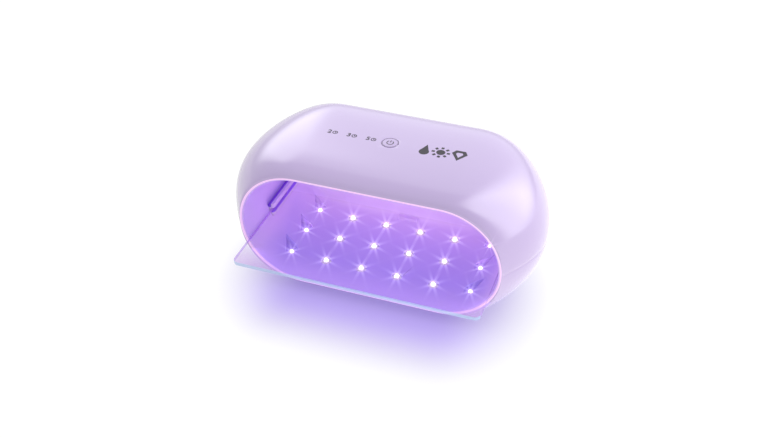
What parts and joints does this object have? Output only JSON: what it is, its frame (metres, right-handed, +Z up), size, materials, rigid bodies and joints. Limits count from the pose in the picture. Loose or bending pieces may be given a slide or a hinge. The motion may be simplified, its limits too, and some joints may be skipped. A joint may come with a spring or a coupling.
{
  "type": "uv curing lamp",
  "caption": "Table-top UV curing lamp with an oval chamber lit from floor and roof, a clear sliding tray on side rails, and a push button on top.",
  "frame": {"origin": "on the ground plane, under the middle of the whole lamp's box with the tray drawn part way out", "axes": "+X to the lamp's right seen from the front, along its longest side; +Y from the mouth to the back; +Z up"},
  "size_m": [0.234, 0.1322, 0.1096],
  "materials": {
    "case_plastic": "glossy moulded lavender",
    "liner_plastic": "smooth moulded, pale lilac",
    "rail_plastic": "satin moulded",
    "button_plastic": "glossy moulded lavender",
    "clear_acrylic": "polished clear sheet, pale blue edges",
    "led_board": "white solder mask",
    "circuit_board": "green solder mask",
    "dark_plastic": "moulded black",
    "socket_metal": "plated, satin",
    "lead_insulation": "smooth insulation",
    "foot_rubber": "soft moulded pads",
    "screw_steel": "zinc plated"
  },
  "bodies": {
    "housing": {"upper_housing": "case_plastic", "lower_housing": "case_plastic", "chamber_liner": "liner_plastic", "left_tray_rail": "rail_plastic", "right_tray_rail": "rail_plastic", "lower_led_board": "led_board", "upper_led_board": "led_board", "control_board": "circuit_board", "usb_board": "circuit_board", "switch_body": "dark_plastic", "timer_light_shade": "dark_plastic", "usb_socket": "socket_metal", "power_lead": "lead_insulation", "lower_led_lead": "lead_insulation", "upper_led_lead": "lead_insulation", "foot_front_left": "foot_rubber", "housing_screw_front_left": "screw_steel", "rail_screw_front_left": "screw_steel", "lower_board_screw_front_left": "screw_steel", "upper_board_screw_front_left": "screw_steel", "foot_front_right": "foot_rubber", "housing_screw_front_right": "screw_steel", "rail_screw_front_right": "screw_steel", "lower_board_screw_front_right": "screw_steel", "upper_board_screw_front_right": "screw_steel", "foot_rear_left": "foot_rubber", "housing_screw_rear_left": "screw_steel", "rail_screw_rear_left": "screw_steel", "lower_board_screw_rear_left": "screw_steel", "upper_board_screw_rear_left": "screw_steel", "foot_rear_right": "foot_rubber", "housing_screw_rear_right": "screw_steel", "rail_screw_rear_right": "screw_steel", "lower_board_screw_rear_right": "screw_steel", "upper_board_screw_rear_right": "screw_steel", "control_screw_left": "screw_steel", "control_screw_right": "screw_steel"},
    "power_button": {"power_button": "button_plastic", "switch_stem": "dark_plastic"},
    "curing_tray": {"curing_tray": "clear_acrylic"}
  },
  "joints": [
    {"name": "tray_slide", "type": "slide", "parent": "housing", "child": "curing_tray", "axis": [0, 1, 0], "range_m": [-0.075, 0.0292]},
    {"name": "button_press", "type": "slide", "parent": "housing", "child": "power_button", "axis": [0, 0, -1], "range_m": [0, 0.0004], "stiffness_N_per_m": 3000}
  ]
}
